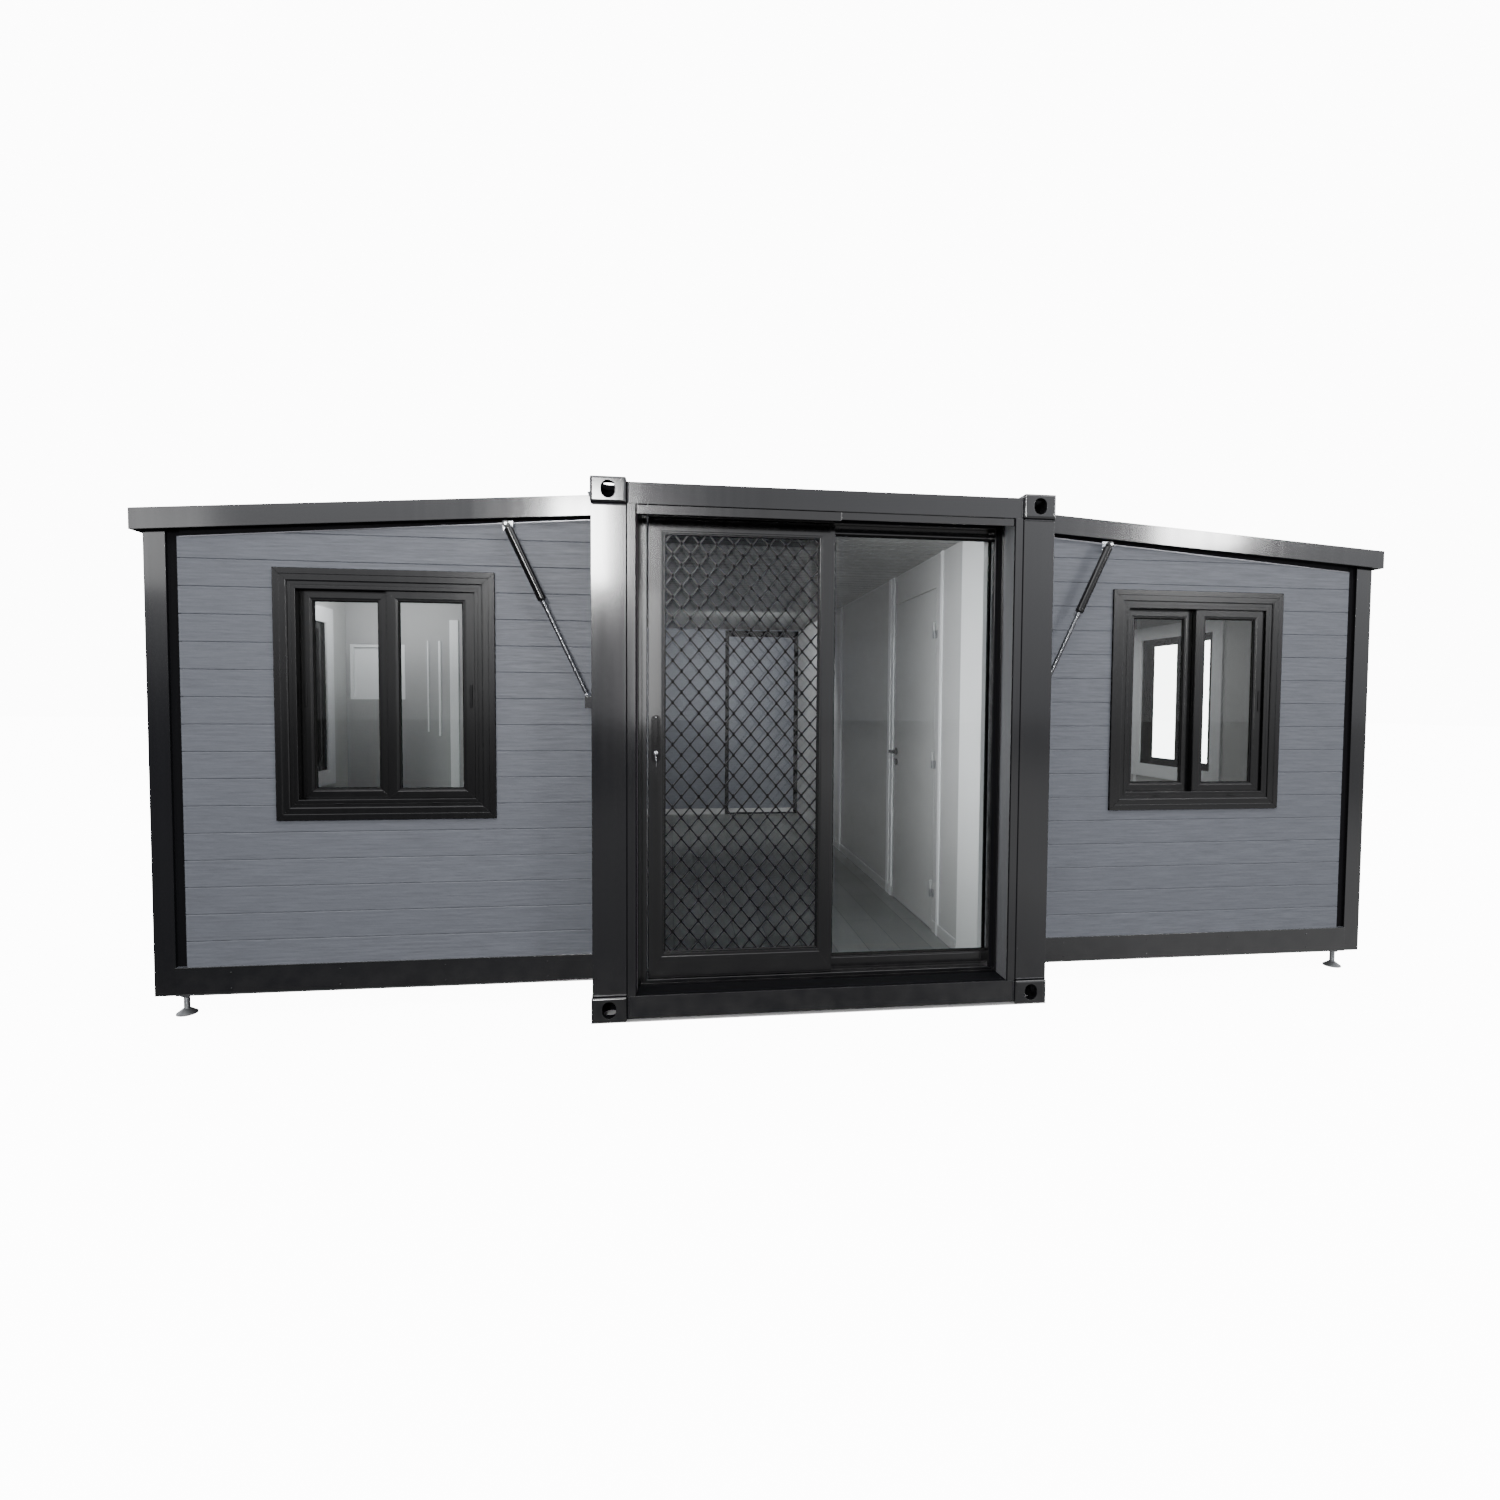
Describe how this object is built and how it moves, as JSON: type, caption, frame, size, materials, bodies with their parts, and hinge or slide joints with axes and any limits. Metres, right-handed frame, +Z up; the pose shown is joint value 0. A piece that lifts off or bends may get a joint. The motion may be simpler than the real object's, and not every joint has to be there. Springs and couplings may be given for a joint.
{
  "type": "expandable container house",
  "caption": "Expandable container house with a steel core, two unfolded wings, sliding glass and diamond-screen doors, eight sliding windows and roof struts.",
  "frame": {"origin": "middle of the house on the ground", "axes": "+X to the right as seen from the glazed end, +Y from the glazed end to the back, +Z up"},
  "size_m": [6.25, 5.9, 2.48],
  "materials": {
    "frame_paint": "satin",
    "siding": "matte",
    "dark_aluminium": "satin",
    "black_plastic": "satin",
    "bright_steel": "polished",
    "window_glass": "clear",
    "white_panel": "satin",
    "white_trim": "gloss",
    "floor_board": "matte",
    "roof_panel": "satin"
  },
  "bodies": {
    "house": {"bottom_corner_castings": "frame_paint", "top_corner_castings": "frame_paint", "corner_posts": "frame_paint", "door_side_posts": "frame_paint", "end_header_beams": "frame_paint", "end_sill_beams": "frame_paint", "side_top_beams": "frame_paint", "side_bottom_beams": "frame_paint", "corner_side_panels": "white_panel", "core_floor": "floor_board", "core_roof": "white_panel", "core_back_wall": "siding", "door_frame": "dark_aluminium", "fixed_leaf_frame": "dark_aluminium", "fixed_leaf_glass": "window_glass", "partition_front_panel": "white_panel", "partition_back_panel": "white_panel", "partition_head_panel": "white_panel", "partition_trims": "white_trim", "front_lining_board": "white_trim", "room_door_hinges": "bright_steel", "left_room_wall": "white_panel", "small_window": "white_trim", "wing_floors": "floor_board", "floor_edge_channels": "frame_paint", "wing_corner_posts": "frame_paint", "front_wing_walls": "siding", "back_wing_walls": "siding", "side_walls": "siding", "wing_roofs": "roof_panel", "roof_fascias": "frame_paint", "window_frames": "dark_aluminium", "window_sashes": "dark_aluminium", "window_panes": "window_glass", "strut_brackets": "frame_paint", "strut_bodies": "black_plastic", "strut_rods": "bright_steel", "levelling_feet": "bright_steel"},
    "glass_door": {"glass_leaf_frame": "dark_aluminium", "glass_leaf_pane": "window_glass"},
    "screen_door": {"screen_leaf_frame": "dark_aluminium", "screen_leaf_grille": "dark_aluminium", "screen_leaf_lock": "black_plastic"},
    "room_door": {"room_door_leaf": "white_panel", "room_door_lever": "black_plastic"}
  },
  "joints": [
    {"name": "screen_door_slide", "type": "slide", "parent": "house", "child": "screen_door", "axis": [1, 0, 0], "range_m": [0, 0.795]},
    {"name": "glass_door_slide", "type": "slide", "parent": "house", "child": "glass_door", "axis": [1, 0, 0], "range_m": [0, 0.775]},
    {"name": "room_door_hinge", "type": "hinge", "parent": "house", "child": "room_door", "pos_m": [0.818, -2.0625, 1.133], "axis": [0, 0, 1], "range_deg": [0, 90]}
  ]
}
